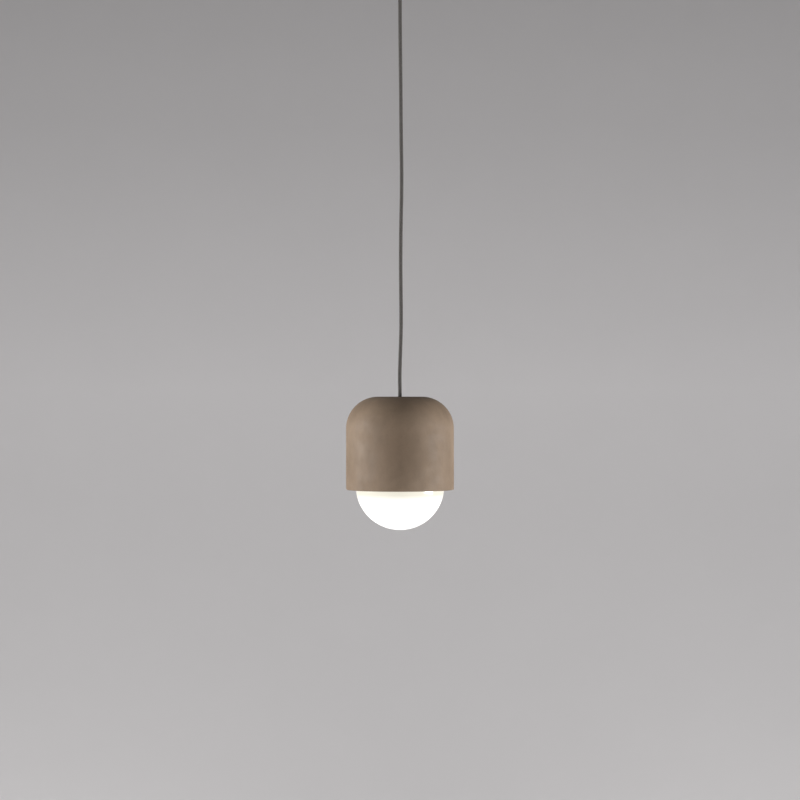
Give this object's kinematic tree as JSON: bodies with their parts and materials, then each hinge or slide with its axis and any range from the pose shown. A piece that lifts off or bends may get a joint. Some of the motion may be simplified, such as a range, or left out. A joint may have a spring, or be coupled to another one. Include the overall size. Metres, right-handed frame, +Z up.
{
  "type": "pendant ceiling light",
  "caption": "Pendant ceiling light: round-shouldered cylindrical stoneware shade with a glowing opal glass globe below its rim, hung on a thin textile cord from a ceiling cup.",
  "frame": {"origin": "centre of the ceiling plate's upper face, where it meets the ceiling", "axes": "+Z up; the cord hangs down -Z; X runs through the plate's two slots and the canopy's two side screws"},
  "size_m": [0.152, 0.152, 0.7987],
  "materials": {
    "stoneware": "matte",
    "opal_glass": "satin",
    "textile_cord": "matte",
    "painted_steel": "matte",
    "zinc_steel": "satin",
    "spring_steel": "satin",
    "brass": "satin",
    "tinned_lugs": "satin",
    "black_nylon": "matte",
    "white_plastic": "satin",
    "live_core": "satin",
    "neutral_core": "satin",
    "earth_core": "satin",
    "dark_rubber": "matte",
    "silicone": "satin",
    "porcelain": "gloss",
    "lamp_cover": "satin",
    "light_board": "satin"
  },
  "bodies": {
    "canopy": {"ceiling_plate": "zinc_steel", "canopy_cup": "painted_steel", "canopy_side_screws": "zinc_steel", "cord_grip": "black_nylon", "cord_grip_nut": "zinc_steel", "cord_grip_screw": "zinc_steel", "cord_in_canopy": "textile_cord", "terminal_block": "white_plastic", "terminal_sleeves": "brass", "terminal_screws": "brass", "terminal_fixing_screw": "zinc_steel", "canopy_earth_screw": "brass", "canopy_earth_lug": "tinned_lugs", "canopy_core_live": "live_core", "canopy_core_neutral": "neutral_core", "canopy_core_earth": "earth_core"},
    "cord_bend": {"cord_bend": "textile_cord"},
    "pendant": {"hanging_cord": "textile_cord", "shade": "stoneware", "cord_bushing": "dark_rubber", "shade_pad": "dark_rubber", "load_plate": "zinc_steel", "inner_grip_locknut": "zinc_steel", "inner_cord_grip": "black_nylon", "inner_grip_screw": "zinc_steel", "lamp_tube": "zinc_steel", "lamp_tube_nuts": "zinc_steel", "glass_carrier": "zinc_steel", "globe_gasket": "silicone", "globe_clips": "spring_steel", "clip_rivets": "zinc_steel", "earth_lug": "tinned_lugs", "holder_bracket": "zinc_steel", "bracket_screws": "zinc_steel", "lampholder": "porcelain", "lampholder_contacts": "brass", "lamp_core_live": "live_core", "lamp_core_neutral": "neutral_core", "lamp_core_earth": "earth_core"},
    "globe": {"globe": "opal_glass"},
    "lamp": {"lamp_base": "white_plastic", "lamp_cover": "lamp_cover", "light_board": "light_board", "lamp_pins": "zinc_steel"}
  },
  "joints": [
    {"name": "swing_sideways", "type": "hinge", "parent": "canopy", "child": "cord_bend", "pos_m": [0, 0, -0.036], "axis": [0, 1, 0], "range_deg": [-20, 20]},
    {"name": "swing_front_back", "type": "hinge", "parent": "cord_bend", "child": "pendant", "pos_m": [0, 0, -0.036], "axis": [1, 0, 0], "range_deg": [-20, 20]},
    {"name": "globe_pull", "type": "slide", "parent": "pendant", "child": "globe", "axis": [0, 0, -1], "range_m": [0, 0.14], "deforming": ["globe_clips"]},
    {"name": "lamp_pull", "type": "slide", "parent": "pendant", "child": "lamp", "axis": [0, 0, -1], "range_m": [0, 0.03]}
  ]
}
